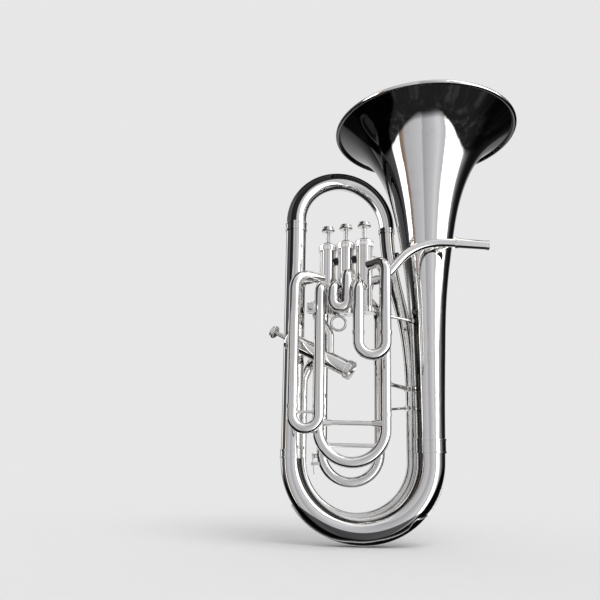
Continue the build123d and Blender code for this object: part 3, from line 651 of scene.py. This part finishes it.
def studio_world():
    """Pale to the camera, even light on matt surfaces, and strips of light in the mirror of the metal."""
    world = bpy.data.worlds.new("studio")
    world.use_nodes = True
    bpy.context.scene.world = world
    shader = Shader(world.node_tree)
    direction = shader.node("ShaderNodeTexCoord").outputs["Generated"]
    split = shader.node("ShaderNodeSeparateXYZ")
    shader.put(split.inputs[0], direction)
    z = split.outputs[2]
    turn = turn_of(shader, split.outputs)
    bands = shader.ramp(turn, [(turn_at(azimuth), colour) for azimuth, colour in BANDS])
    plush = shader.noise(direction, 5, detail=6, roughness=0.7, stretch=(1, 1, 1.6))
    pile = shader.ramp(
        plush,
        [
            (0.0, (0.010, 0.010, 0.011)),
            (0.5, (0.014, 0.014, 0.015)),
            (0.68, (0.05, 0.05, 0.053)),
            (0.85, (0.12, 0.12, 0.12)),
        ],
    )
    # A ramp can't go below 0, so it holds the sine of the elevation plus 1.
    edge = shader.ramp(
        turn,
        [(turn_at(azimuth), (sin(radians(rise)) + 1,) * 3) for azimuth, rise in LIT_ABOVE],
        "B_SPLINE",
    )
    split_edge = shader.node("ShaderNodeSeparateColor")
    shader.put(split_edge.inputs[0], edge)
    height = shader.math("SUBTRACT", shader.math("ADD", z, 1.0), split_edge.outputs[0])
    is_lit = shader.span(height, -0.05, 0.05, smooth=True)
    above = shader.ramp(
        turn,
        [
            (0.0, (0.16, 0.16, 0.17)),
            (0.18, (0.10, 0.10, 0.10)),
            (0.30, (0.9, 0.9, 0.9)),
            (0.5, (0.75, 0.75, 0.75)),
            (0.64, (1.3, 1.3, 1.3)),
            (0.78, (0.25, 0.25, 0.25)),
            (1.0, (0.16, 0.16, 0.17)),
        ],
    )
    upright = shader.mix(is_lit, pile, bands)
    overhead = shader.span(z, sin(radians(44)), sin(radians(62)), smooth=True)
    mirrored = shader.mix(overhead, upright, above)
    path = shader.node("ShaderNodeLightPath")
    even = shader.mix(
        path.outputs["Is Camera Ray"],
        (SKY_LIGHT, SKY_LIGHT, SKY_LIGHT * 1.01, 1),
        (FLOOR_RADIANCE, FLOOR_RADIANCE, FLOOR_RADIANCE, 1),
    )
    background = shader.node("ShaderNodeBackground")
    shader.put(background.inputs["Color"], shader.mix(path.outputs["Is Glossy Ray"], even, mirrored))
    output = shader.node("ShaderNodeOutputWorld")
    shader.put(output.inputs["Surface"], background.outputs[0])


def studio_floor():
    material, shader, principled, where = surface("studio_floor", Roughness=0.9)
    principled.inputs["Specular IOR Level"].default_value = 0.0
    grain = shader.noise(where, 40, detail=3)
    low = (FLOOR_COLOUR - 0.01,) * 3 + (1,)
    high = (FLOOR_COLOUR + 0.01,) * 3 + (1,)
    shader.put(principled.inputs["Base Color"], shader.mix(grain, low, high))
    mesh = bpy.data.meshes.new("floor")
    reach = FLOOR_REACH
    corners = [(-reach, -reach, 0), (reach, -reach, 0), (reach, reach, 0), (-reach, reach, 0)]
    mesh.from_pydata(corners, [], [(0, 1, 2, 3)])
    mesh.materials.append(material)
    floor = bpy.data.objects.new("floor", mesh)
    floor.location.z = cad_bounds[0].z - FLOOR_GAP
    floor.visible_glossy = False
    bpy.context.collection.objects.link(floor)


def studio_sun():
    light = bpy.data.lights.new("key", "SUN")
    light.energy = SUN_STRENGTH
    light.angle = SUN_SOFTNESS
    sun = bpy.data.objects.new("key", light)
    sun.rotation_euler = (pi / 2 - SUN_HEIGHT, 0, SUN_TURN)
    sun.visible_glossy = False
    bpy.context.collection.objects.link(sun)


CAMERA_LENS = 36.72
CAMERA_SHIFT = 0.0917
CAMERA_LEFT_OF_BELL = 0.2045
CAMERA_DISTANCE = 0.960
CAMERA_HEIGHT = 0.114
CAMERA_PITCH = radians(10.5)
CAMERA_ROLL = radians(1.1)


def studio_camera():
    """Low in front of the instrument and to its left, looking up a little."""
    camera = bpy.data.cameras.new("camera")
    camera.lens = CAMERA_LENS
    camera.shift_y = CAMERA_SHIFT
    camera.clip_start = 0.01
    eye = bpy.data.objects.new("camera", camera)
    bell_low, bell_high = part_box("bell")
    axis_x = (bell_low.x + bell_high.x) / 2
    eye.location = (axis_x - CAMERA_LEFT_OF_BELL, -CAMERA_DISTANCE, CAMERA_HEIGHT)
    tilt = Matrix.Rotation(pi / 2 + CAMERA_PITCH, 4, "X") @ Matrix.Rotation(CAMERA_ROLL, 4, "Z")
    eye.rotation_euler = tilt.to_euler()
    bpy.context.collection.objects.link(eye)
    bpy.context.scene.camera = eye


studio_world()
studio_floor()
studio_sun()
studio_camera()
bpy.context.scene.view_settings.view_transform = "Standard"
